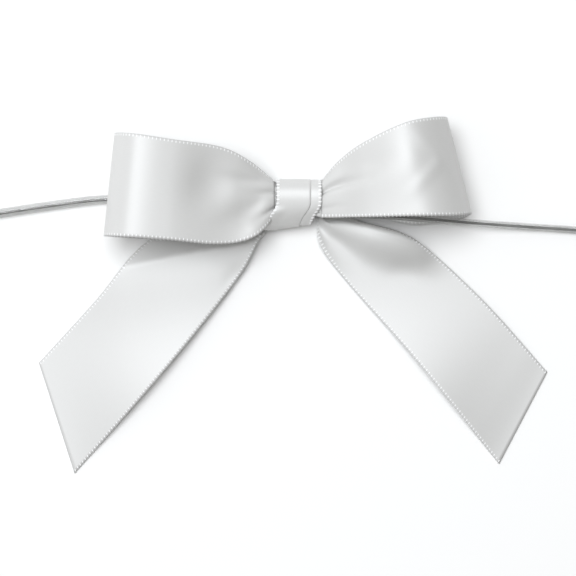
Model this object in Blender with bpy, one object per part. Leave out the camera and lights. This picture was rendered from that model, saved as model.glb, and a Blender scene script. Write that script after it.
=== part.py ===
"""A pre-tied satin ribbon bow with a clear wire twist tie, lying on its back.

X runs along the bow's width, +Y points away from the tails, and +Z points out of the bow's
front. The origin is the centre of the knot's flat back, on the surface that the bow lies on.
"""

import math

import bmesh
import bpy
from mathutils import Matrix, Vector

MM = 0.001

# Ribbon: seven-eighths of an inch wide, in two loops, two tails and a folded wrap.
RIBBON_WIDTH = 22.2 * MM
RIBBON_THICKNESS = 0.5 * MM
RIBBON_STEPS = 5  # rows of faces between two key places along a ribbon
RIBBON_STRIPS = 4  # strips of faces across a ribbon
CUP = 0.07 * RIBBON_WIDTH  # how far a loop's front layer bulges between its edges

# Knot
KNOT_LENGTH = 10.6 * MM
KNOT_HALF_DEPTH = 5.6 * MM
KNOT_HEIGHT = 7.6 * MM
KNOT_CORNER = 2.9 * MM
CORNER_STEPS = 5
BACK_INSET = 1.2 * MM  # the ribbon layers behind the tie are this much narrower each side
GAP = 0.3 * MM  # clearance between touching pieces
MOUTH = KNOT_LENGTH / 2 + 0.9 * MM  # where loops and tails leave the knot

# Twist tie: a steel wire in a flat clear jacket
WIRE_RADIUS = 0.25 * MM
WIRE_ROOM = 0.12 * MM
JACKET_WALL = 0.2 * MM
JACKET_WIDTH = 2.4 * MM
FIN_THICKNESS = 0.3 * MM
TIE_STEP = 2.4 * MM
LEFT_END = -86.0 * MM
RIGHT_END = 86.0 * MM
LEFT_BENDS = (-47.5 * MM, -60.0 * MM)  # where the left leg swings, then where it lifts
RIGHT_BENDS = (43.0 * MM, 55.5 * MM)
BARE_WIRE = 1.4 * MM  # jacket cut back from each bend
WIRE_BREAK = 0.15 * MM  # half the break in the wire at each bend

# The tie's route, as (x, y, z, roll about its own length in degrees)
TIE_ROUTE = (
    (-86.0, -5.1, 1.45, 33),
    (-66.9, -2.0, 1.40, 33),
    (-53.4, 0.0, 1.40, 33),
    (-43.5, 1.1, 1.40, 33),
    (-25.0, 1.5, 1.40, 33),
    (-12.0, 0.9, 1.55, 18),
    (-5.3, 0.3, 2.40, 0),
    (5.3, -1.2, 3.75, 0),
    (12.0, -2.0, 4.30, 40),
    (20.0, -2.6, 4.20, 53),
    (30.0, -3.4, 3.85, 53),
    (38.0, -4.1, 3.30, 53),
    (50.0, -4.9, 2.00, 53),
    (62.0, -5.7, 1.45, 53),
    (86.0, -8.0, 1.45, 53),
)

# Ribbon shapes, as the far edge and the near edge (x, y, z) at a few places along each.
LEFT_LOOP = (
    ((-6.2, 4.2, 6.0), (-6.2, -4.4, 5.7)),
    ((-10.8, 8.6, 10.2), (-11.4, -7.7, 9.8)),
    ((-17.0, 11.8, 14.0), (-17.8, -9.0, 13.5)),
    ((-27.0, 13.5, 16.3), (-28.8, -8.1, 15.8)),
    ((-36.2, 14.8, 14.4), (-38.4, -7.5, 14.0)),
    ((-40.2, 15.3, 9.2), (-42.6, -7.2, 9.0)),
    ((-36.4, 14.7, 4.2), (-38.6, -7.4, 4.1)),
    ((-27.0, 12.6, 3.2), (-28.6, -8.0, 3.2)),
    ((-15.0, 9.4, 3.15), (-15.6, -7.6, 3.15)),
    ((-6.2, 4.2, 3.5), (-6.2, -4.4, 3.5)),
)
RIGHT_LOOP = (
    ((6.2, 4.3, 6.3), (6.2, -2.9, 6.2)),
    ((9.2, 9.0, 8.8), (10.0, -3.1, 8.6)),
    ((14.2, 12.4, 12.6), (16.0, -3.1, 12.2)),
    ((22.8, 17.0, 15.6), (27.2, -3.0, 14.8)),
    ((29.6, 18.5, 13.0), (34.6, -2.8, 12.4)),
    ((32.7, 18.7, 8.0), (38.1, -2.3, 7.6)),
    ((29.8, 17.9, 2.8), (35.0, -3.6, 2.1)),
    ((20.6, 14.0, 2.2), (24.8, -6.2, 1.75)),
    ((12.4, 9.4, 2.3), (13.8, -5.4, 2.0)),
    ((6.2, 3.6, 2.2), (6.2, -3.7, 2.1)),
)
LEFT_TAIL = (
    ((-6.4, -1.3, 0.95), (-6.4, -4.6, 0.80)),
    ((-18.0, -3.1, 1.70), (-8.2, -7.6, 1.20)),
    ((-33.2, -7.8, 1.70), (-13.6, -16.6, 0.90)),
    ((-45.3, -21.5, 0.45), (-28.4, -35.3, 0.35)),
    ((-58.1, -35.4, 0.25), (-50.1, -60.2, 0.25)),
)
RIGHT_TAIL = (
    ((6.4, -1.3, 0.85), (6.4, -4.4, 0.75)),
    ((14.6, -3.8, 1.20), (8.0, -9.2, 0.90)),
    ((26.0, -7.6, 1.20), (12.4, -18.6, 0.60)),
    ((40.4, -20.6, 0.40), (26.2, -34.6, 0.35)),
    ((55.9, -37.5, 0.25), (45.1, -58.1, 0.25)),
)
LOOP_HINGE_Z = 6.4 * MM
TAIL_ROOT_Y = -2.9 * MM


def clear_scene():
    for obj in list(bpy.data.objects):
        bpy.data.objects.remove(obj, do_unlink=True)


def make_material(name, colour, roughness, metallic=0.0, alpha=1.0):
    material = bpy.data.materials.new(name)
    material.use_nodes = True
    shader = material.node_tree.nodes["Principled BSDF"]
    shader.inputs["Base Color"].default_value = (*colour, 1.0)
    shader.inputs["Roughness"].default_value = roughness
    shader.inputs["Metallic"].default_value = metallic
    shader.inputs["Alpha"].default_value = alpha
    return material


def catmull_rom(keys, steps):
    """Points of a smooth curve through the keys, which are equal-length tuples of numbers."""
    ends = [Vector(k) for k in keys]
    ends = [2 * ends[0] - ends[1], *ends, 2 * ends[-1] - ends[-2]]
    points = []
    for a, b, c, d in zip(ends, ends[1:], ends[2:], ends[3:]):
        for i in range(steps):
            t = i / steps
            bend = (2 * a - 5 * b + 4 * c - d) * t * t + (3 * b - a - 3 * c + d) * t**3
            points.append(0.5 * (2 * b + (c - a) * t + bend))
    return [*points, ends[-2]]


def finish_mesh(name, bm, material, pivot, smooth_angle=40):
    """Turn a bmesh in world positions into an object whose origin is the pivot."""
    bmesh.ops.recalc_face_normals(bm, faces=bm.faces[:])
    bmesh.ops.translate(bm, verts=bm.verts[:], vec=-Vector(pivot))
    mesh = bpy.data.meshes.new(name)
    bm.to_mesh(mesh)
    bm.free()
    mesh.materials.append(material)
    mesh.shade_smooth()
    mesh.set_sharp_from_angle(angle=math.radians(smooth_angle))
    obj = bpy.data.objects.new(name, mesh)
    obj.location = pivot
    bpy.context.collection.objects.link(obj)
    return obj


def join_rings(bm, rings):
    """Side faces between each ring of vertices and the next."""
    for low, high in zip(rings, rings[1:]):
        for i in range(len(low)):
            j = (i + 1) % len(low)
            bm.faces.new((low[i], low[j], high[j], high[i]))


def ring_edges(bm, ring):
    return [bm.edges.get((ring[i - 1], ring[i])) for i in range(len(ring))]


def loft(name, outer, material, inner=None, pivot=(0, 0, 0)):
    """A closed solid through rings of points, solid or with a hole from end to end."""
    bm = bmesh.new()
    skins = [[[bm.verts.new(p) for p in ring] for ring in rings] for rings in (outer, inner or [])]
    for rings in skins:
        join_rings(bm, rings)
    for end in (0, -1):
        edges = [edge for rings in skins if rings for edge in ring_edges(bm, rings[end])]
        bmesh.ops.triangle_fill(bm, use_beauty=True, edges=edges)
    return finish_mesh(name, bm, material, pivot)


def ribbon(name, keys, material, pivot=(0, 0, 0), cup=0.0):
    """A ribbon through key places, each given as its far and near edge points in millimetres."""
    rows = catmull_rom([(*far, *near) for far, near in keys], RIBBON_STEPS)
    middle = Vector((sum(r[0] + r[3] for r in rows), 0, sum(r[2] + r[5] for r in rows)))
    middle /= 2 * len(rows)
    bm = bmesh.new()
    grid = []
    for row in rows:
        far = Vector(row[:3])
        near = Vector(row[3:])
        centre = (far + near) / 2
        out = Vector((centre.x - middle.x, 0, centre.z - middle.z)).normalized()
        line = []
        for i in range(RIBBON_STRIPS + 1):
            v = i / RIBBON_STRIPS
            swell = cup * 4 * v * (1 - v) * max(out.z, 0)
            line.append(bm.verts.new(far.lerp(near, v) * MM + out * swell))
        grid.append(line)
    for low, high in zip(grid, grid[1:]):
        for i in range(RIBBON_STRIPS):
            bm.faces.new((low[i], low[i + 1], high[i + 1], high[i]))
    obj = finish_mesh(name, bm, material, pivot)
    solid = obj.modifiers.new("thickness", "SOLIDIFY")
    solid.thickness = RIBBON_THICKNESS
    solid.offset = 0.0
    return obj


def rounded_profile(half_depth, low, high, top_corner, low_corner):
    """Points (y, z) round a rectangle with round corners, standing on z = low."""
    points = []
    for k, (cy, cz) in enumerate(((1, 1), (-1, 1), (-1, -1), (1, -1))):
        corner = top_corner if cz > 0 else low_corner
        y = cy * (half_depth - corner)
        z = (high - corner) if cz > 0 else (low + corner)
        for i in range(CORNER_STEPS + 1):
            turn = math.radians(90 * (k + i / CORNER_STEPS))
            points.append((y + corner * math.cos(turn), z + corner * math.sin(turn)))
    return points


def tie_at(x):
    """The tie's centre and its roll at a place along X, from the route."""
    k = max(i for i in range(len(TIE_ROUTE) - 1) if i == 0 or TIE_ROUTE[i][0] * MM <= x)
    a, b = TIE_ROUTE[k], TIE_ROUTE[k + 1]
    before = TIE_ROUTE[max(k - 1, 0)]
    after = TIE_ROUTE[min(k + 2, len(TIE_ROUTE) - 1)]
    span = b[0] - a[0]
    t = (x / MM - a[0]) / span
    values = []
    for n in (1, 2, 3):
        start = (b[n] - before[n]) / (b[0] - before[0]) * span
        stop = (after[n] - a[n]) / (after[0] - a[0]) * span
        rise = (3 * t * t - 2 * t**3) * (b[n] - a[n])
        ease = (t - 2 * t * t + t**3) * start + (t**3 - t * t) * stop
        values.append(a[n] + rise + ease)
    return Vector((x, values[0] * MM, values[1] * MM)), math.radians(values[2])


def tie_ring(x, profile, scale=1.0):
    """A profile (across, up) set square to the tie at x."""
    centre, roll = tie_at(x)
    along = (tie_at(x + MM / 2)[0] - tie_at(x - MM / 2)[0]).normalized()
    across = Vector((0, 0, 1)).cross(along).normalized()
    turn = Matrix.Rotation(roll, 3, along)
    across = turn @ across
    up = along.cross(across)
    return [centre + (across * u + up * v) * scale for u, v in profile]


def circle_profile(radius, count=8):
    steps = [2 * math.pi * (i + 0.5) / count for i in range(count)]
    return [(radius * math.cos(a), radius * math.sin(a)) for a in steps]


def jacket_profile():
    """A flat strip with a round rib along its middle, anticlockwise."""
    rib = WIRE_RADIUS + WIRE_ROOM + JACKET_WALL
    edge = FIN_THICKNESS / 2
    first = math.asin(edge / rib)
    arc = [first + (math.pi - 2 * first) * i / 5 for i in range(6)]
    top = [(JACKET_WIDTH / 2, edge)]
    top += [(rib * math.cos(a), rib * math.sin(a)) for a in arc]
    top += [(-JACKET_WIDTH / 2, edge)]
    return top + [(-u, -v) for u, v in top]


def stations(start, stop):
    count = max(2, math.ceil(abs(stop - start) / TIE_STEP) + 1)
    return [start + (stop - start) * i / (count - 1) for i in range(count)]


def tie_piece(side, start, stop, wire_look, jacket_look, pivot, free=(False, False)):
    """One length of the tie: its wire, round-nosed at each bend, and its jacket."""
    lower = start + (0 if free[0] else WIRE_BREAK)
    upper = stop - (0 if free[1] else WIRE_BREAK)
    wire = circle_profile(WIRE_RADIUS)
    nose = WIRE_RADIUS * 0.7
    rings = [tie_ring(lower, wire, 0.45)]
    rings += [tie_ring(x, wire) for x in stations(lower + nose, upper - nose)]
    rings += [tie_ring(upper, wire, 0.45)]
    loft(f"tie_wire_{side}", rings, wire_look, pivot=pivot)
    places = stations(start + (GAP if free[0] else BARE_WIRE), stop - (GAP if free[1] else BARE_WIRE))
    outer = [tie_ring(x, jacket_profile()) for x in places]
    room = circle_profile(WIRE_RADIUS + WIRE_ROOM)
    inner = [tie_ring(x, room) for x in places]
    loft(f"tie_jacket_{side}", outer, jacket_look, inner=inner, pivot=pivot)


def build_tie(wire_look, jacket_look):
    swing_left, lift_left = LEFT_BENDS
    swing_right, lift_right = RIGHT_BENDS
    pieces = (
        ("left_end", LEFT_END, lift_left, tie_at(lift_left)[0], (True, False)),
        ("left_leg", lift_left, swing_left, tie_at(swing_left)[0], (False, False)),
        ("centre", swing_left, MOUTH, Vector((0, 0, 0)), (False, False)),
        ("in_right_loop", MOUTH, swing_right, Vector((MOUTH, 0, LOOP_HINGE_Z)), (False, False)),
        ("right_leg", swing_right, lift_right, tie_at(swing_right)[0], (False, False)),
        ("right_end", lift_right, RIGHT_END, tie_at(lift_right)[0], (False, True)),
    )
    for side, start, stop, pivot, free in pieces:
        tie_piece(side, start, stop, wire_look, jacket_look, pivot, free)


def build_knot(satin):
    """The folded wrap, and the two stacks of gathered ribbon that it holds round the tie."""
    half = KNOT_LENGTH / 2
    outer = rounded_profile(KNOT_HALF_DEPTH, 0, KNOT_HEIGHT, KNOT_CORNER, KNOT_CORNER)
    inner_corner = KNOT_CORNER - RIBBON_THICKNESS
    inner = rounded_profile(
        KNOT_HALF_DEPTH - RIBBON_THICKNESS,
        RIBBON_THICKNESS,
        KNOT_HEIGHT - RIBBON_THICKNESS,
        inner_corner,
        inner_corner,
    )
    ends = (-half, half)
    loft(
        "knot_wrap",
        [[(x, y, z) for y, z in outer] for x in ends],
        satin,
        inner=[[(x, y, z) for y, z in inner] for x in ends],
    )
    room = WIRE_RADIUS + WIRE_ROOM + JACKET_WALL + GAP
    depth = KNOT_HALF_DEPTH - RIBBON_THICKNESS - GAP
    floor = RIBBON_THICKNESS + GAP
    roof = KNOT_HEIGHT - RIBBON_THICKNESS - GAP
    behind = []
    front = []
    for x in (-half, -half / 3, half / 3, half):
        tie_z = tie_at(x)[0].z
        low = tie_z + room
        shoulder = min(inner_corner - GAP, roof - low - GAP)
        narrow = rounded_profile(depth - BACK_INSET, floor, tie_z - room, GAP, GAP)
        wide = rounded_profile(depth, low, roof, shoulder, GAP)
        behind.append([(x, y, z) for y, z in narrow])
        front.append([(x, y, z) for y, z in wide])
    loft("knot_layers_behind_tie", behind, satin)
    loft("knot_layers_over_tie", front, satin)


def main():
    clear_scene()
    satin = make_material("white_satin", (0.86, 0.86, 0.87), 0.32)
    steel = make_material("steel_wire", (0.42, 0.42, 0.43), 0.35, metallic=1.0)
    clear = make_material("clear_plastic", (0.90, 0.92, 0.92), 0.12, alpha=0.35)
    build_knot(satin)
    ribbon("left_loop", LEFT_LOOP, satin, (-MOUTH, 0, LOOP_HINGE_Z), CUP)
    ribbon("right_loop", RIGHT_LOOP, satin, (MOUTH, 0, LOOP_HINGE_Z), CUP)
    ribbon("left_tail", LEFT_TAIL, satin, (-MOUTH, TAIL_ROOT_Y, 0))
    ribbon("right_tail", RIGHT_TAIL, satin, (MOUTH, TAIL_ROOT_Y, 0))
    build_tie(steel, clear)


main()
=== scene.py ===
"""Looks for a pre-tied white satin bow with a clear wire twist tie, lying on its back.

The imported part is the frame: X along the bow's width, +Y away from the tails, +Z out of the front.
Every ribbon is a net of points between its two selvedges, pleated where the knot grips it.
Shapes are written in millimetres and turned into metres when a mesh is made.
"""

import math

import bpy
import numpy as np
from mathutils import Matrix, Vector


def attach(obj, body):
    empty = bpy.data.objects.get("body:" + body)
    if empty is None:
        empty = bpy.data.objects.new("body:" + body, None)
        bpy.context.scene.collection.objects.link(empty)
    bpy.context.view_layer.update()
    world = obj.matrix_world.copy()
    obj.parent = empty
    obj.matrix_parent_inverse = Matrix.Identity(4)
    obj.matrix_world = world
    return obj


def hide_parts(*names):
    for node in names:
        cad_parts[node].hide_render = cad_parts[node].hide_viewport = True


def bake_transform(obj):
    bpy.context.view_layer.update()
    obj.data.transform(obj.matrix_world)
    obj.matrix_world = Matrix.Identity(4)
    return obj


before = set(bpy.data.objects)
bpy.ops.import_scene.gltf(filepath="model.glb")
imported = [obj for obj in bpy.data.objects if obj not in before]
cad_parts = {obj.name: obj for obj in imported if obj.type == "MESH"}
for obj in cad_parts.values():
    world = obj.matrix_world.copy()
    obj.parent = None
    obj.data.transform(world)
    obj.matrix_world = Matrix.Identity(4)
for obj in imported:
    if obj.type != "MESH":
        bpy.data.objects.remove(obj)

MM = 0.001

# Ribbon
RIBBON_WIDTH = 22.2
RIBBON_THICKNESS = 0.26
NET_SPACING = 0.75  # between the points of a ribbon's net
BEAD_PITCH = 0.85  # between the woven stitches of a selvedge
BEAD_SIZE = (0.27, 0.62, 0.16)  # half sizes along the edge, across it and through the ribbon
BEAD_INSET = 0.42  # from the edge to the middle of a stitch

# Knot
KNOT_HALF_DEPTH = 5.6
KNOT_HEIGHT = 7.6
KNOT_CORNER = 2.9
KNOT_WAIST = 0.45  # where the knot is deepest, as a share of its height
KNOT_ROUNDING = 0.9  # 1 is an ellipse over the top, less is squarer
KNOT_TILT = 0.2  # how steeply its top slopes down towards the tails

# Twist tie
WIRE_RADIUS = 0.3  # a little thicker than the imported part's, so that it reads
RIB_RADIUS = 0.57
JACKET_WIDTH = 2.4
FIN_THICKNESS = 0.3

# The tie's route, as (x, y, z, roll about its own length in degrees)
TIE_ROUTE = (
    (-86.0, -5.1, 1.45, 33),
    (-66.9, -2.0, 1.40, 33),
    (-53.4, 0.0, 1.40, 33),
    (-43.5, 1.1, 1.40, 33),
    (-25.0, 1.5, 1.40, 33),
    (-12.0, 0.9, 1.55, 18),
    (-5.3, 0.3, 2.40, 0),
    (5.3, -1.2, 3.75, 0),
    (12.0, -2.0, 4.30, 40),
    (20.0, -2.6, 4.20, 53),
    (30.0, -3.4, 3.85, 53),
    (38.0, -4.1, 3.30, 53),
    (50.0, -4.9, 2.00, 53),
    (62.0, -5.7, 1.45, 53),
    (86.0, -8.0, 1.45, 53),
)

# Ribbon routes, as the far edge and the near edge at a few places along each, from the knot out
LEFT_LOOP = (
    ((-5.0, 4.6, 5.6), (-5.2, -2.5, 5.7)),
    ((-10.8, 9.3, 8.8), (-10.7, -7.7, 8.8)),
    ((-17.0, 12.2, 11.3), (-17.8, -9.0, 11.3)),
    ((-27.0, 13.5, 14.8), (-28.8, -8.1, 14.5)),
    ((-36.0, 14.8, 15.3), (-38.2, -7.5, 14.9)),
    ((-40.2, 15.3, 9.2), (-42.6, -7.2, 9.0)),
    ((-36.4, 14.7, 4.2), (-38.6, -7.4, 4.1)),
    ((-27.0, 12.6, 3.4), (-28.6, -8.0, 4.0)),
    ((-15.0, 9.4, 3.4), (-15.6, -7.4, 4.0)),
    ((-5.0, 4.0, 3.8), (-5.0, -3.8, 3.8)),
)
RIGHT_LOOP = (
    ((5.0, 4.6, 5.8), (5.0, -2.8, 6.0)),
    ((9.2, 9.4, 8.8), (10.0, -3.0, 8.6)),
    ((14.2, 13.0, 12.6), (16.0, -3.1, 12.2)),
    ((22.8, 17.0, 15.6), (27.2, -3.0, 14.8)),
    ((29.6, 18.5, 13.0), (34.6, -2.8, 12.4)),
    ((32.7, 18.7, 8.0), (38.1, -2.3, 7.6)),
    ((29.8, 17.9, 2.8), (35.0, -3.6, 2.1)),
    ((20.6, 14.0, 2.2), (24.8, -4.4, 2.8)),
    ((12.4, 9.4, 2.3), (13.4, -1.8, 3.0)),
    ((5.0, 4.0, 2.1), (5.0, -2.3, 2.1)),
)
LEFT_TAIL = (
    ((-4.8, -1.3, 0.90), (-4.8, -4.4, 0.90)),
    ((-18.0, -3.1, 0.8), (-8.4, -7.6, 0.8)),
    ((-33.2, -7.8, 0.6), (-13.6, -16.6, 0.6)),
    ((-45.3, -21.5, 0.3), (-28.4, -35.3, 0.3)),
    ((-58.1, -35.4, 0.22), (-50.1, -60.2, 0.22)),
)
RIGHT_TAIL = (
    ((4.5, -1.0, 0.85), (4.1, -3.4, 0.85)),
    ((14.0, -3.9, 0.8), (5.0, -9.2, 0.8)),
    ((26.0, -7.9, 0.6), (11.2, -17.6, 0.5)),
    ((40.4, -20.4, 0.3), (25.9, -34.2, 0.3)),
    ((55.9, -37.5, 0.22), (45.1, -58.1, 0.22)),
)

# How the loops are folded where the knot grips them, from the far edge to the near edge, as degrees
# round the knot from its top and depth under its surface
LEFT_TOP_PLEATS = (
    (88, 0.75), (70, 0.66), (54, 0.64), (42, 0.72), (31, 1.45), (21, 0.8), (9, 0.64),
    (-2, 0.72), (-10, 1.35), (-18, 0.85), (-26, 0.75), (-34, 0.85),
)
RIGHT_TOP_PLEATS = (
    (88, 0.75), (70, 0.66), (52, 0.64), (38, 0.72), (26, 1.5), (16, 0.8), (6, 0.64),
    (-4, 0.66), (-12, 0.9), (-20, 0.75), (-28, 0.66), (-36, 0.75),
)
# and lower in the knot, as (y, z): the left loop's back comes out over the tie, the right loop's
# back and both tails behind it
LEFT_BACK_PLEATS = (
    (4.0, 3.5), (3.4, 4.4), (2.9, 3.4), (2.2, 4.5), (1.6, 3.5), (0.8, 4.5), (0.0, 3.5),
    (-0.8, 4.5), (-1.6, 3.5), (-2.2, 4.4), (-2.8, 3.4), (-3.2, 4.2), (-3.8, 3.5),
)
RIGHT_BACK_PLEATS = (
    (4.0, 1.6), (3.3, 2.7), (2.8, 1.5), (2.2, 2.7), (1.7, 1.5), (1.1, 2.7), (0.5, 1.5),
    (-0.1, 2.7), (-0.6, 1.5), (-1.1, 2.6), (-1.5, 1.5), (-1.7, 2.6), (-1.9, 2.1),
)
LEFT_TAIL_PLEATS = ((-1.0, 0.6), (-4.1, 0.6), (-1.4, 0.95), (-4.1, 1.35))
RIGHT_TAIL_PLEATS = ((-0.6, 0.6), (-3.0, 0.6), (-0.9, 0.8), (-3.1, 1.0))

# Folds along a ribbon, each a line of (x, y, rise, width of its far side, width of its near side)
LEFT_LOOP_FOLDS = (
    ((-25.0, 5.0, 0.0, 6.0, 5.5), (-19.5, 4.0, -1.0, 5.5, 5.0), (-13.0, 2.5, 0.0, 4.0, 4.0)),
    (
        (-16.5, 6.2, 0.0, 1.2, 1.0),
        (-12.5, 5.1, -0.55, 1.3, 0.8),
        (-8.0, 3.7, -0.6, 1.1, 0.7),
        (-5.5, 2.7, 0.0, 0.8, 0.6),
    ),
    (
        (-19.0, -5.5, 0.0, 2.5, 2.5),
        (-12.5, -2.6, -0.6, 2.6, 2.6),
        (-8.0, 0.0, -0.6, 1.6, 1.6),
        (-5.5, 0.8, 0.0, 1.0, 1.0),
    ),
    (
        (-14.0, -9.0, 0.0, 2.2, 1.5),
        (-10.4, -7.8, 0.9, 2.4, 1.6),
        (-8.6, -5.6, 1.0, 2.2, 1.4),
        (-6.8, -3.6, 0.0, 1.0, 1.0),
    ),
)
RIGHT_LOOP_FOLDS = (
    (
        (5.3, 2.2, -0.3, 0.8, 0.6),
        (9.0, 3.5, -0.7, 1.2, 0.8),
        (13.5, 4.9, -0.4, 1.4, 0.9),
        (15.5, 5.6, 0.0, 1.2, 0.9),
    ),
    (
        (6.0, 1.2, 0.0, 1.5, 3.0),
        (11.0, 2.6, 0.3, 2.0, 4.0),
        (17.0, 4.4, 0.4, 3.0, 4.5),
        (22.3, 7.4, 0.4, 4.0, 4.0),
        (24.0, 11.5, 0.2, 4.0, 4.0),
        (25.0, 14.5, 0.0, 4.0, 4.0),
    ),
    ((13.0, 7.2, 0.0, 2.0, 2.0), (15.3, 8.0, -0.25, 2.2, 2.0), (19.0, 10.0, 0.0, 2.0, 2.0)),
    (
        (24.8, 16.5, 0.0, 1.4, 1.4),
        (27.0, 13.4, 0.25, 1.3, 1.5),
        (30.2, 9.6, 0.3, 1.2, 1.4),
        (27.5, 5.5, 0.25, 1.2, 1.4),
        (21.8, -0.5, 0.0, 1.3, 1.5),
    ),
)
LEFT_TAIL_FOLDS = (
    (
        (-3.5, -4.6, 0.6, 2.0, 3.0),
        (-7.8, -6.8, 1.7, 2.4, 6.0),
        (-12.0, -8.6, 2.2, 3.0, 10.0),
        (-22.0, -10.3, 2.2, 2.6, 14.0),
        (-30.0, -11.9, 2.2, 2.8, 15.0),
        (-39.0, -13.8, 1.9, 3.0, 14.0),
    ),
    ((-12.0, -12.5, 0.0, 2.5, 2.5), (-14.5, -15.5, -0.6, 3.0, 3.0), (-17.5, -19.0, 0.0, 3.0, 3.0)),
)
RIGHT_TAIL_FOLDS = (
    (
        (4.6, -3.3, 0.6, 1.0, 1.2),
        (6.5, -3.7, 1.8, 1.1, 1.9),
        (9.5, -4.2, 3.2, 1.2, 2.7),
        (16.1, -5.5, 5.0, 1.6, 5.0),
        (22.8, -7.5, 4.7, 1.9, 5.4),
        (27.5, -9.9, 2.8, 2.3, 4.2),
        (31.0, -12.0, 0.0, 2.6, 4.0),
    ),
    (
        (3.0, -4.6, 0.8, 1.0, 1.0),
        (4.0, -7.4, 1.1, 1.2, 1.2),
        (5.6, -10.6, 0.6, 1.6, 1.6),
        (9.3, -15.4, 0.0, 2.0, 2.0),
    ),
)
# How square the far and near sides of a tail's crest are
LEFT_TAIL_POWERS = (1.0, 2.0)
RIGHT_TAIL_POWERS = (2.0, 3.0)

# How far a fold at a loop, a tail or the knot reaches along the ribbon
TOP_GATHER_REACH = 11.0
BACK_GATHER_REACH = 12.0
TAIL_GATHER_REACH = 7.0
LOOP_FRONT_SHARE = 0.42  # of a loop's length, where its folds start to fade towards its back
LOOP_FRONT_FADE = 0.08

# Gathers inside the knot, as (core y and z, folds across the width, how far they are drawn to the core)
GATHERS_OVER_TIE = ((0.0, 4.9), 7, 0.5)
GATHERS_BEHIND_TIE = ((0.6, 1.0), 8, 0.85)

# Tails, as (rise near the end, rise of the arch, extra rise of the near edge)
LEFT_TAIL_RISES = (0.0, 0.2, 2.4)
RIGHT_TAIL_RISES = (0.1, 0.6, 1.8)
ARCH_START = 12.0  # along a tail, where it starts to rise off the table again after its crest
ARCH_LEAN = 1.5  # above 1, the arch is highest past the middle of its length
HUMP_FROM_END = 7.0
HUMP_WIDTH = 4.0

# Wrap
WRAP_THICKNESS = 0.12
WRAP_LEAN = 2.4  # how far it leans left towards its near side
WRAP_FLARE = 1.4  # and how much wider it is there
WRAP_ON_LOOP = 0.45  # how far its left edge stands up where it lies on the loop
WRAP_CLEARANCE = 0.09  # between the surface below and its underside
WRAP_LEFT = -4.75
WRAP_RIGHT = 5.15
WRAP_BEAD_SCALE = 0.8
WRAP_SECTION = (
    # x across the knot and depth under its surface, from the outer layer's selvedge to the inner one's
    (WRAP_LEFT, 0.07),
    (-2.0, 0.07),
    (1.0, 0.07),
    (2.5, 0.08),
    (2.9, 0.15),
    (2.5, 0.22),
    (0.0, 0.22),
    (-3.0, 0.22),
    (-3.4, 0.30),
    (-3.0, 0.37),
    (0.0, 0.37),
    (1.8, 0.36),
    (2.8, 0.28),
    (3.4, 0.20),
    (WRAP_RIGHT, 0.18),
)


# ---------------------------------------------------------------- curves and nets


def smooth_rows(keys, steps):
    """Rows of numbers on a smooth curve through the keys, which are equal-length rows of numbers."""
    keys = np.asarray(keys, float)
    keys = np.vstack([2 * keys[0] - keys[1], keys, 2 * keys[-1] - keys[-2]])
    t = (np.arange(steps) / steps)[:, None]
    rows = []
    for a, b, c, d in zip(keys, keys[1:], keys[2:], keys[3:]):
        bend = (2 * a - 5 * b + 4 * c - d) * t**2 + (3 * b - a - 3 * c + d) * t**3
        rows.append(0.5 * (2 * b + (c - a) * t + bend))
    return np.vstack([*rows, keys[-2]])


def spaced(rows, count, lengths):
    """The rows read again at even steps of length."""
    places = np.linspace(0, lengths[-1], count)
    return np.stack([np.interp(places, lengths, column) for column in rows.T], axis=1)


def path_lengths(points):
    return np.concatenate([[0], np.cumsum(np.linalg.norm(np.diff(points, axis=0), axis=1))])


def unit(v):
    return v / np.maximum(np.linalg.norm(v, axis=-1, keepdims=True), 1e-9)


def ease(t):
    t = np.clip(t, 0, 1)
    return t * t * (3 - 2 * t)


def net_normals(net):
    along = np.gradient(net, axis=0)
    across = np.gradient(net, axis=1)
    return unit(np.cross(along, across))


def edge_net(keys, columns):
    """A net between the far and near edges of a route, evenly spaced along its length."""
    rows = smooth_rows([(*far, *near) for far, near in keys], 24)
    lengths = (path_lengths(rows[:, :3]) + path_lengths(rows[:, 3:])) / 2
    rows = spaced(rows, max(8, round(lengths[-1] / NET_SPACING)) + 1, lengths)
    v = np.linspace(0, 1, columns)[None, :, None]
    net = rows[:, None, :3] * (1 - v) + rows[:, None, 3:] * v
    return net, np.linspace(0, lengths[-1], len(rows))


def pleat_line(profile, x, columns):
    """Points of a pleated cross-section at x, evenly spaced along the ribbon's width."""
    line = smooth_rows(profile, 8)
    line = spaced(line, columns, path_lengths(line))
    return np.column_stack([np.full(columns, x), line])


def tilted(points):
    """Points (y, z) of the knot, sheared so that its top slopes; its flat back stays where it is."""
    return [(y, z * (1 + KNOT_TILT * y / KNOT_HEIGHT)) for y, z in points]


def under_wrap(places):
    """Points (y, z) from degrees round the knot from its top and depths under its surface."""
    points = []
    for degrees, depth in places:
        turn = math.radians(degrees)
        y = math.copysign(abs(math.sin(turn)) ** KNOT_ROUNDING, turn) * (KNOT_HALF_DEPTH - depth)
        rise = KNOT_HEIGHT * (1 - KNOT_WAIST) - depth
        points.append((y, KNOT_HEIGHT * KNOT_WAIST + rise * math.cos(turn) ** KNOT_ROUNDING))
    return tilted(points)


def gather(net, lengths, profile, reach, from_start=True):
    """Fold one end of a net into a pleated cross-section, which opens out over the reach."""
    row = net[0] if from_start else net[-1]
    pleats = pleat_line(profile, row[:, 0].mean(), net.shape[1])
    shift = pleats - row
    distance = lengths if from_start else lengths[-1] - lengths
    share = 1 - ease(distance / reach)
    return net + share[:, None, None] * shift[None]


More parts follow.
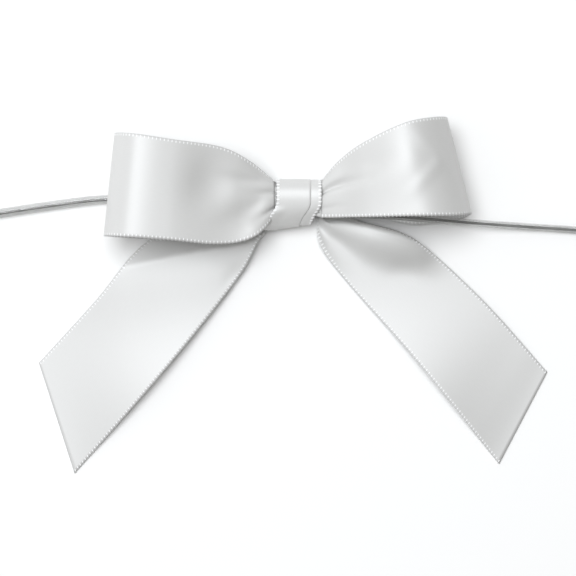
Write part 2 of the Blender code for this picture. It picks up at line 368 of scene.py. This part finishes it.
def fold_height(net, keys, powers=(2.0, 2.0), blur=1.5):
    """How far one fold lifts each point of a net. Its two sides have their own width and power."""
    line = smooth_rows(keys, 12)
    run = np.gradient(line[:, :2], axis=0)
    run *= np.sign(run[:, :1]) / np.linalg.norm(run, axis=1, keepdims=True)
    gap = net[..., None, :2] - line[:, :2]
    square = (gap**2).sum(axis=-1)
    nearest = square.min(axis=-1, keepdims=True)
    weight = np.exp(-(square - nearest) / blur**2)
    weight /= weight.sum(axis=-1, keepdims=True)
    rise, far_width, near_width = np.moveaxis(weight @ line[:, 2:], -1, 0)
    side = (weight * (gap[..., 1] * run[:, 0] - gap[..., 0] * run[:, 1])).sum(axis=-1)
    far = ease(side / 0.6 + 0.5)
    width = near_width + (far_width - near_width) * far
    power = powers[1] + (powers[0] - powers[1]) * far
    return rise * np.exp(-((np.sqrt(nearest[..., 0]) / width) ** power))


def raise_folds(net, folds, share, powers=(2.0, 2.0)):
    """Push a net out along its normals at each fold."""
    normals = net_normals(net)
    normals *= np.sign(normals[..., 2:]) + (normals[..., 2:] == 0)
    height = sum(fold_height(net, line, powers) for line in folds)
    return net + normals * (height * share)[..., None]


# ---------------------------------------------------------------- meshes


def mesh_object(name, points, faces, material, uvs=None):
    """A smooth mesh object from points in millimetres."""
    mesh = bpy.data.meshes.new(name)
    mesh.from_pydata((np.asarray(points) * MM).tolist(), [], faces)
    mesh.materials.append(material)
    mesh.shade_smooth()
    if uvs is not None:
        layer = mesh.uv_layers.new(name="ribbon")
        corners = np.empty(len(mesh.loops), int)
        mesh.loops.foreach_get("vertex_index", corners)
        layer.data.foreach_set("uv", np.asarray(uvs)[corners].ravel())
    mesh.update()
    obj = bpy.data.objects.new(name, mesh)
    bpy.context.scene.collection.objects.link(obj)
    return obj


def grid_faces(rows, columns, closed=False):
    faces = []
    for i in range(rows - 1):
        for j in range(columns if closed else columns - 1):
            k = (j + 1) % columns
            faces.append((i * columns + j, i * columns + k, (i + 1) * columns + k, (i + 1) * columns + j))
    return faces


def ribbon_object(name, net, material, thickness=RIBBON_THICKNESS):
    """A ribbon of real thickness from a net. Its UV map holds widths along it and its share across."""
    rows, columns = net.shape[:2]
    along = path_lengths(net.mean(axis=1)) / RIBBON_WIDTH
    across = np.linspace(0, 1, columns)
    uvs = np.stack(np.meshgrid(along, across, indexing="ij"), axis=-1).reshape(-1, 2)
    obj = mesh_object(name, net.reshape(-1, 3), grid_faces(rows, columns), material, uvs)
    solid = obj.modifiers.new("thickness", "SOLIDIFY")
    solid.thickness = thickness * MM
    solid.offset = 0.0
    return obj


def bead_template():
    """A small ball of unit radius, as points and faces."""
    rings, sides = 4, 6
    points = [(0.0, 0.0, 1.0)]
    for i in range(1, rings):
        turn = math.pi * i / rings
        for j in range(sides):
            angle = 2 * math.pi * j / sides
            ring = math.sin(turn)
            points.append((ring * math.cos(angle), ring * math.sin(angle), math.cos(turn)))
    points.append((0.0, 0.0, -1.0))
    last = len(points) - 1
    faces = [(0, 1 + j, 1 + (j + 1) % sides) for j in range(sides)]
    for i in range(rings - 2):
        for j in range(sides):
            a = 1 + i * sides
            k = (j + 1) % sides
            faces.append((a + j, a + sides + j, a + sides + k, a + k))
    base = 1 + (rings - 2) * sides
    faces += [(last, base + (j + 1) % sides, base + j) for j in range(sides)]
    return np.array(points), faces


def selvedge_object(name, net, material, scale=1.0):
    """The woven stitches along a ribbon's edges, one small bead for each turn of the weft."""
    shape, shape_faces = bead_template()
    normals = net_normals(net)
    points = []
    faces = []
    for edge in (0, -1):
        line = net[:, edge]
        inner = net[:, 1 if edge == 0 else -2]
        lengths = path_lengths(line)
        count = max(2, int(lengths[-1] / BEAD_PITCH))
        data = np.hstack([line, unit(line - inner), normals[:, edge]])
        places = (np.arange(count) + 0.5) * lengths[-1] / count
        rows = np.stack([np.interp(places, lengths, column) for column in data.T], axis=1)
        for row in rows:
            out = unit(row[3:6])
            normal = unit(row[6:9])
            along = np.cross(normal, out)
            centre = row[:3] - out * BEAD_INSET * scale
            first = len(points) * len(shape)
            a, c, t = (size * scale for size in BEAD_SIZE)
            points.append(
                centre + shape[:, :1] * along * a + shape[:, 1:2] * out * c + shape[:, 2:] * normal * t
            )
            faces += [tuple(first + i for i in face) for face in shape_faces]
    return mesh_object(name, np.vstack(points), faces, material)


# ---------------------------------------------------------------- materials


def new_material(name):
    material = bpy.data.materials.new(name)
    material.use_nodes = True
    nodes = material.node_tree.nodes
    return material, nodes, material.node_tree.links, nodes["Principled BSDF"]


def add_node(nodes, kind, **values):
    node = nodes.new(kind)
    for key, value in values.items():
        setattr(node, key, value)
    return node


def math_node(nodes, links, operation, first, second):
    node = add_node(nodes, "ShaderNodeMath", operation=operation)
    for socket, value in zip(node.inputs, (first, second)):
        if isinstance(value, (int, float)):
            socket.default_value = value
        else:
            links.new(value, socket)
    return node.outputs[0]


def satin_material():
    """White satin: fine warp threads along the ribbon, crossed faintly by the weft."""
    material, nodes, links, shader = new_material("white_satin")
    shader.inputs["Roughness"].default_value = 0.5
    shader.inputs["IOR"].default_value = 2.1
    shader.inputs["Anisotropic"].default_value = 0.5
    shader.inputs["Anisotropic Rotation"].default_value = 0.25
    shader.inputs["Sheen Weight"].default_value = 0.12
    shader.inputs["Sheen Roughness"].default_value = 0.35
    place = add_node(nodes, "ShaderNodeUVMap", uv_map="ribbon")
    split = add_node(nodes, "ShaderNodeSeparateXYZ")
    links.new(place.outputs["UV"], split.inputs[0])
    tangent = add_node(nodes, "ShaderNodeTangent", direction_type="UV_MAP", uv_map="ribbon")
    links.new(tangent.outputs[0], shader.inputs["Tangent"])
    stretch = add_node(nodes, "ShaderNodeCombineXYZ")
    links.new(math_node(nodes, links, "MULTIPLY", split.outputs["X"], 14.0), stretch.inputs["X"])
    links.new(math_node(nodes, links, "MULTIPLY", split.outputs["Y"], 190.0), stretch.inputs["Y"])
    warp = add_node(nodes, "ShaderNodeTexNoise")
    warp.inputs["Scale"].default_value = 1.0
    warp.inputs["Detail"].default_value = 3.0
    links.new(stretch.outputs[0], warp.inputs["Vector"])
    weft = math_node(nodes, links, "MULTIPLY", split.outputs["X"], 2 * math.pi * 60)
    weft = math_node(nodes, links, "SINE", weft, 0)
    weave = math_node(nodes, links, "MULTIPLY", weft, 0.12)
    weave = math_node(nodes, links, "ADD", weave, warp.outputs["Fac"])
    bump = add_node(nodes, "ShaderNodeBump")
    bump.inputs["Strength"].default_value = 0.18
    bump.inputs["Distance"].default_value = 0.00006
    links.new(weave, bump.inputs["Height"])
    links.new(bump.outputs[0], shader.inputs["Normal"])
    tint = add_node(nodes, "ShaderNodeMix", data_type="RGBA")
    tint.inputs["A"].default_value = (0.572, 0.567, 0.553, 1)
    tint.inputs["B"].default_value = (0.622, 0.619, 0.607, 1)
    links.new(warp.outputs["Fac"], tint.inputs["Factor"])
    links.new(tint.outputs["Result"], shader.inputs["Base Color"])
    return material


def selvedge_material():
    """The ribbon's edge stitches: white thread, less shiny than the face."""
    material, nodes, links, shader = new_material("woven_selvedge")
    shader.inputs["Roughness"].default_value = 0.6
    shader.inputs["Sheen Weight"].default_value = 0.2
    place = add_node(nodes, "ShaderNodeTexCoord")
    grain = add_node(nodes, "ShaderNodeTexNoise")
    grain.inputs["Scale"].default_value = 4000.0
    links.new(place.outputs["Object"], grain.inputs["Vector"])
    tint = add_node(nodes, "ShaderNodeMix", data_type="RGBA")
    tint.inputs["A"].default_value = (0.84, 0.84, 0.835, 1)
    tint.inputs["B"].default_value = (0.93, 0.93, 0.93, 1)
    links.new(grain.outputs["Fac"], tint.inputs["Factor"])
    links.new(tint.outputs["Result"], shader.inputs["Base Color"])
    bump = add_node(nodes, "ShaderNodeBump")
    bump.inputs["Strength"].default_value = 0.3
    bump.inputs["Distance"].default_value = 0.00004
    links.new(grain.outputs["Fac"], bump.inputs["Height"])
    links.new(bump.outputs[0], shader.inputs["Normal"])
    return material


def steel_material():
    material, nodes, links, shader = new_material("drawn_steel")
    shader.inputs["Metallic"].default_value = 1.0
    shader.inputs["Anisotropic"].default_value = 0.5
    place = add_node(nodes, "ShaderNodeTexCoord")
    stretch = add_node(nodes, "ShaderNodeMapping")
    stretch.inputs["Scale"].default_value = (120, 4000, 4000)
    links.new(place.outputs["Object"], stretch.inputs["Vector"])
    grain = add_node(nodes, "ShaderNodeTexNoise")
    grain.inputs["Scale"].default_value = 1.0
    links.new(stretch.outputs[0], grain.inputs["Vector"])
    tint = add_node(nodes, "ShaderNodeMix", data_type="RGBA")
    tint.inputs["A"].default_value = (0.035, 0.035, 0.033, 1)
    tint.inputs["B"].default_value = (0.11, 0.105, 0.10, 1)
    links.new(grain.outputs["Fac"], tint.inputs["Factor"])
    links.new(tint.outputs["Result"], shader.inputs["Base Color"])
    rough = add_node(nodes, "ShaderNodeMapRange")
    rough.inputs["To Min"].default_value = 0.25
    rough.inputs["To Max"].default_value = 0.45
    links.new(grain.outputs["Fac"], rough.inputs["Value"])
    links.new(rough.outputs[0], shader.inputs["Roughness"])
    return material


def jacket_material():
    """Clear plastic with faint draw lines along it."""
    material, nodes, links, shader = new_material("clear_plastic")
    shader.inputs["Base Color"].default_value = (0.55, 0.555, 0.54, 1)
    shader.inputs["Roughness"].default_value = 0.12
    shader.inputs["Specular IOR Level"].default_value = 0.7
    shader.inputs["Coat Weight"].default_value = 0.4
    place = add_node(nodes, "ShaderNodeTexCoord")
    stretch = add_node(nodes, "ShaderNodeMapping")
    stretch.inputs["Scale"].default_value = (60, 2600, 2600)
    links.new(place.outputs["Object"], stretch.inputs["Vector"])
    lines = add_node(nodes, "ShaderNodeTexNoise")
    lines.inputs["Scale"].default_value = 1.0
    lines.inputs["Detail"].default_value = 4.0
    links.new(stretch.outputs[0], lines.inputs["Vector"])
    clear = add_node(nodes, "ShaderNodeMapRange")
    clear.inputs["To Min"].default_value = 0.05
    clear.inputs["To Max"].default_value = 0.55
    links.new(lines.outputs["Fac"], clear.inputs["Value"])
    links.new(clear.outputs[0], shader.inputs["Alpha"])
    bump = add_node(nodes, "ShaderNodeBump")
    bump.inputs["Strength"].default_value = 0.25
    bump.inputs["Distance"].default_value = 0.00008
    links.new(lines.outputs["Fac"], bump.inputs["Height"])
    links.new(bump.outputs[0], shader.inputs["Normal"])
    return material


SATIN = satin_material()
SELVEDGE = selvedge_material()
STEEL = steel_material()
CLEAR = jacket_material()


# ---------------------------------------------------------------- ribbons

COLUMNS = round(RIBBON_WIDTH / NET_SPACING) + 1


def finish_ribbon(name, net, replaced):
    """The ribbon and its selvedge stitches, with the part's pieces that they replace hidden."""
    obj = ribbon_object(name, net, SATIN)
    beads = selvedge_object(f"{name}_selvedge", net, SELVEDGE)
    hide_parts(*replaced)
    return obj, beads


def loop_net(keys, top_pleats, back_pleats, folds):
    """A loop from the knot's top, out, round its end and back to the knot."""
    net, lengths = edge_net(keys, COLUMNS)
    front = 1 - ease((lengths / lengths[-1] - LOOP_FRONT_SHARE) / LOOP_FRONT_FADE)
    net = raise_folds(net, folds, front[:, None])
    net = gather(net, lengths, under_wrap(top_pleats), TOP_GATHER_REACH)
    return gather(net, lengths, back_pleats, BACK_GATHER_REACH, from_start=False)


def make_loop(side, net):
    name = f"{side}_loop_ribbon"
    for piece in finish_ribbon(name, net, [f"{side}_loop"]):
        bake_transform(piece)


def make_gathers(name, left_row, right_row, node, crush):
    """Ribbon inside the knot from one mouth to the other, its folds drawn part way to a core."""
    core, folds, pull = crush
    t = np.linspace(0, 1, 15)[:, None]
    share = ease(t)[..., None]
    net = left_row[None] * (1 - share) + right_row[None] * share
    wave = 0.6 - 0.4 * np.cos(2 * math.pi * folds * np.linspace(0, 1, net.shape[1]))
    inside = np.minimum(np.sin(np.pi * t), 0.7) / 0.7
    net[..., 1:] += (np.asarray(core) - net[..., 1:]) * (pull * inside * wave)[..., None]
    sheet = ribbon_object(name, net, SATIN)
    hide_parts(node)
    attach(sheet, "knot")


def tail_net(keys, pleats, folds, powers, rises):
    """A tail from the knot, over its crest and along the table to its cut end."""
    end_rise, arch_rise, near_lift = rises
    net, lengths = edge_net(keys, COLUMNS)
    net = raise_folds(net, folds, 1.0, powers)
    from_end = lengths[-1] - lengths
    along = np.clip((lengths - ARCH_START) / (lengths[-1] - ARCH_START), 0, 1)
    arch = np.sin(np.pi * along**ARCH_LEAN) ** 2
    share = np.linspace(0, 1, net.shape[1]) ** 1.5
    net[..., 2] += arch[:, None] * (arch_rise + near_lift * share)
    bump = np.exp(-(((from_end - HUMP_FROM_END) / HUMP_WIDTH) ** 2))
    hump = end_rise * bump * ease(from_end / HUMP_WIDTH)
    net[..., 2] += hump[:, None]
    return gather(net, lengths, pleats, TAIL_GATHER_REACH)


def make_tail(side, net):
    name = f"{side}_tail_ribbon"
    for piece in finish_ribbon(name, net, [f"{side}_tail"]):
        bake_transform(piece)


# ---------------------------------------------------------------- knot


def knot_profile(inset, steps=10):
    """Points (y, z) once round the knot, from the middle of its flat back, up the near side and over."""
    half_depth = KNOT_HALF_DEPTH - inset
    middle = KNOT_HEIGHT * KNOT_WAIST
    rise = KNOT_HEIGHT - inset - middle
    corner = KNOT_CORNER - inset
    points = [(0.0, inset)]
    for i in range(steps + 1):
        turn = math.radians(90 * i / steps)
        y = half_depth - corner + corner * math.sin(turn)
        points.append((-y, inset + corner - corner * math.cos(turn)))
    for i in range(4 * steps + 1):
        turn = math.radians(180 * i / (4 * steps))
        y = -math.copysign(abs(math.cos(turn)) ** KNOT_ROUNDING, math.cos(turn))
        points.append((half_depth * y, middle + rise * math.sin(turn) ** KNOT_ROUNDING))
    points += [(-y, z) for y, z in reversed(points[: steps + 2])]
    return np.array(tilted(points))


def wrap_net():
    """The wrap: a ribbon folded in three along its length and wound once round the knot."""
    section = smooth_rows(WRAP_SECTION, 8)
    section = spaced(section, COLUMNS * 2, path_lengths(section))
    turns = np.linspace(0, 1, 97)
    net = np.empty((len(turns), len(section), 3))
    for j, (x, depth) in enumerate(section):
        line = knot_profile(depth)
        lengths = path_lengths(line)
        net[:, j, 1] = np.interp(turns * lengths[-1], lengths, line[:, 0])
        net[:, j, 2] = np.interp(turns * lengths[-1], lengths, line[:, 1])
        right = (x - WRAP_LEFT) / (WRAP_RIGHT - WRAP_LEFT)
        above = ease((net[:, j, 2] - 1.8) / 2.2)
        lean = ease((0.4 - net[:, j, 1]) / 7.0) * (above + (1 - above) * right)
        net[:, j, 0] = x - lean * (WRAP_LEAN + WRAP_FLARE * (WRAP_RIGHT - x) / 10)
        by_loop = ease((-1.5 - x) / 3.25) * ease((-0.4 - net[:, j, 1]) / 1.8)
        net[:, j, 2] += WRAP_ON_LOOP * above * by_loop
        net[:, j, 2] += WRAP_CLEARANCE * (1 - net[:, j, 2] / KNOT_HEIGHT)
        near = ease(-net[:, j, 1] / 4.0)
        net[:, j, 1] += near * (0.35 + 0.11 * x)
    return net


def make_wrap():
    net = wrap_net()
    obj = ribbon_object("knot_wrap_ribbon", net, SATIN, WRAP_THICKNESS)
    beads = selvedge_object("knot_wrap_selvedge", net, SELVEDGE, WRAP_BEAD_SCALE)
    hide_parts("knot_wrap")
    for piece in (obj, beads):
        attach(piece, "knot")


# ---------------------------------------------------------------- tie


def tie_at(x):
    """The tie's centre and its roll at a place along X, from the route."""
    k = max(i for i in range(len(TIE_ROUTE) - 1) if i == 0 or TIE_ROUTE[i][0] <= x)
    a, b = TIE_ROUTE[k], TIE_ROUTE[k + 1]
    before = TIE_ROUTE[max(k - 1, 0)]
    after = TIE_ROUTE[min(k + 2, len(TIE_ROUTE) - 1)]
    span = b[0] - a[0]
    t = (x - a[0]) / span
    values = []
    for n in (1, 2, 3):
        start = (b[n] - before[n]) / (b[0] - before[0]) * span
        stop = (after[n] - a[n]) / (after[0] - a[0]) * span
        rise = (3 * t * t - 2 * t**3) * (b[n] - a[n])
        ease_in = (t - 2 * t * t + t**3) * start + (t**3 - t * t) * stop
        values.append(a[n] + rise + ease_in)
    return Vector((x, values[0], values[1])), math.radians(values[2])


def tie_ring(x, profile):
    """A profile (across, up) set square to the tie at x."""
    centre, roll = tie_at(x)
    along = (tie_at(x + 0.5)[0] - tie_at(x - 0.5)[0]).normalized()
    across = Matrix.Rotation(roll, 3, along) @ Vector((0, 0, 1)).cross(along).normalized()
    up = along.cross(across)
    return [tuple(centre + across * u + up * v) for u, v in profile]


def circle(radius, count=12):
    return [
        (radius * math.cos(2 * math.pi * i / count), radius * math.sin(2 * math.pi * i / count))
        for i in range(count)
    ]


def jacket_profile():
    """A flat strip with a round rib along its middle, its edges rounded."""
    edge = FIN_THICKNESS / 2
    first = math.asin(edge / RIB_RADIUS) + 0.12
    top = [(JACKET_WIDTH / 2, 0.0), (JACKET_WIDTH / 2 - 0.06, edge * 0.8), (JACKET_WIDTH / 2 - 0.2, edge)]
    top += [(0.8, edge)]
    for i in range(7):
        turn = first + (math.pi - 2 * first) * i / 6
        top.append((RIB_RADIUS * math.cos(turn), RIB_RADIUS * math.sin(turn)))
    top += [(-0.8, edge), (-JACKET_WIDTH / 2 + 0.2, edge), (-JACKET_WIDTH / 2 + 0.06, edge * 0.8)]
    return top + [(-u, -v) for u, v in top]


def tube_object(name, profile, start, stop, material, step=0.5):
    """A closed length of the tie with this profile."""
    count = max(3, round(abs(stop - start) / step) + 1)
    rings = [tie_ring(x, profile) for x in np.linspace(start, stop, count)]
    sides = len(profile)
    points = [p for ring in rings for p in ring]
    faces = grid_faces(count, sides, closed=True)
    faces.append(tuple(reversed(range(sides))))
    faces.append(tuple((count - 1) * sides + j for j in range(sides)))
    obj = mesh_object(name, points, faces, material)
    obj.data.set_sharp_from_angle(angle=math.radians(50))
    return obj


TIE_PIECES = (
    # name, from x, to x, inner body, outer body, blend from x, blend to x, CAD pieces it stands for
    ("left_root", 0.0, -53.7, "knot", "tie_left_leg", -45.4, -49.6, ("left_leg",)),
    ("left_end", -53.7, -86.0, "tie_left_leg", "tie_left_end", -57.9, -62.1, ("left_end",)),
    ("right_root", 0.0, 25.0, "knot", "right_loop", 5.0, 12.0, ("centre",)),
    ("right_middle", 25.0, 49.2, "right_loop", "tie_right_leg", 40.9, 45.1, ("in_right_loop", "right_leg")),
    ("right_end", 49.2, 86.0, "tie_right_leg", "tie_right_end", 53.4, 57.6, ("right_end",)),
)


def make_tie():
    looks = (
        ("wire", circle(WIRE_RADIUS), STEEL),
        ("jacket", jacket_profile(), CLEAR),
    )
    for part, profile, material in looks:
        for name, start, stop, inner, outer, bend_from, bend_to, nodes in TIE_PIECES:
            obj = tube_object(f"{part}_{name}", profile, start, stop, material)
            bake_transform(obj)
            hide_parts(*[f"tie_{part}_{n}" for n in nodes])


# ---------------------------------------------------------------- stage


def make_stage():
    """A white table, a big soft light from the upper left and a pale surround."""
    material, _, _, shader = new_material("white_table")
    shader.inputs["Base Color"].default_value = (0.875, 0.87, 0.86, 1)
    shader.inputs["Roughness"].default_value = 0.9
    shader.inputs["Specular IOR Level"].default_value = 0.1
    floor = mesh_object(
        "floor",
        [(-3000, -3000, 0), (3000, -3000, 0), (3000, 3000, 0), (-3000, 3000, 0)],
        [(0, 1, 2, 3)],
        material,
    )
    light = bpy.data.lights.new("softbox", "AREA")
    light.shape = "DISK"
    light.size = 0.6
    light.energy = 5.6
    light.color = (0.94, 0.97, 1.0)
    lamp = bpy.data.objects.new("softbox", light)
    lamp.location = (-0.14, 0.17, 0.77)
    aim = Vector((0, -0.01, 0)) - lamp.location
    lamp.rotation_euler = aim.to_track_quat("-Z", "Y").to_euler()
    bpy.context.scene.collection.objects.link(lamp)
    world = bpy.data.worlds.new("surround")
    world.use_nodes = True
    nodes = world.node_tree.nodes
    links = world.node_tree.links
    direction = add_node(nodes, "ShaderNodeTexCoord")
    lean = add_node(nodes, "ShaderNodeVectorMath", operation="DOT_PRODUCT")
    lean.inputs[1].default_value = (-0.85, 0.4, 0.3)
    links.new(direction.outputs["Generated"], lean.inputs[0])
    share = add_node(nodes, "ShaderNodeMapRange", interpolation_type="SMOOTHERSTEP")
    share.inputs["From Min"].default_value = -1.0
    links.new(lean.outputs["Value"], share.inputs["Value"])
    sky = add_node(nodes, "ShaderNodeMix", data_type="RGBA")
    sky.inputs["A"].default_value = (0.07, 0.06, 0.045, 1)
    sky.inputs["B"].default_value = (0.72, 0.725, 0.735, 1)
    links.new(share.outputs[0], sky.inputs["Factor"])
    background = nodes["Background"]
    links.new(sky.outputs["Result"], background.inputs["Color"])
    bpy.context.scene.world = world
    bpy.context.scene.view_settings.view_transform = "Standard"
    bpy.context.scene.view_settings.look = "None"


def make_camera():
    """Straight above the bow, far enough for a long lens."""
    data = bpy.data.cameras.new("camera")
    data.lens = 111.4
    data.sensor_width = 36.0
    data.clip_start = 0.01
    data.clip_end = 10.0
    camera = bpy.data.objects.new("camera", data)
    camera.location = (-2.25 * MM, -18.63 * MM, 400 * MM)
    bpy.context.scene.collection.objects.link(camera)
    bpy.context.scene.camera = camera


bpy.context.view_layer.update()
make_camera()
make_stage()
left_loop = loop_net(LEFT_LOOP, LEFT_TOP_PLEATS, LEFT_BACK_PLEATS, LEFT_LOOP_FOLDS)
right_loop = loop_net(RIGHT_LOOP, RIGHT_TOP_PLEATS, RIGHT_BACK_PLEATS, RIGHT_LOOP_FOLDS)
left_tail = tail_net(LEFT_TAIL, LEFT_TAIL_PLEATS, LEFT_TAIL_FOLDS, LEFT_TAIL_POWERS, LEFT_TAIL_RISES)
right_tail = tail_net(RIGHT_TAIL, RIGHT_TAIL_PLEATS, RIGHT_TAIL_FOLDS, RIGHT_TAIL_POWERS, RIGHT_TAIL_RISES)
make_loop("left", left_loop)
make_loop("right", right_loop)
make_tail("left", left_tail)
make_tail("right", right_tail)
make_gathers("gathers_over_tie", left_loop[0], right_loop[0], "knot_layers_over_tie", GATHERS_OVER_TIE)
make_gathers(
    "gathers_behind_tie", left_tail[0], right_loop[-1], "knot_layers_behind_tie", GATHERS_BEHIND_TIE
)
make_wrap()
make_tie()
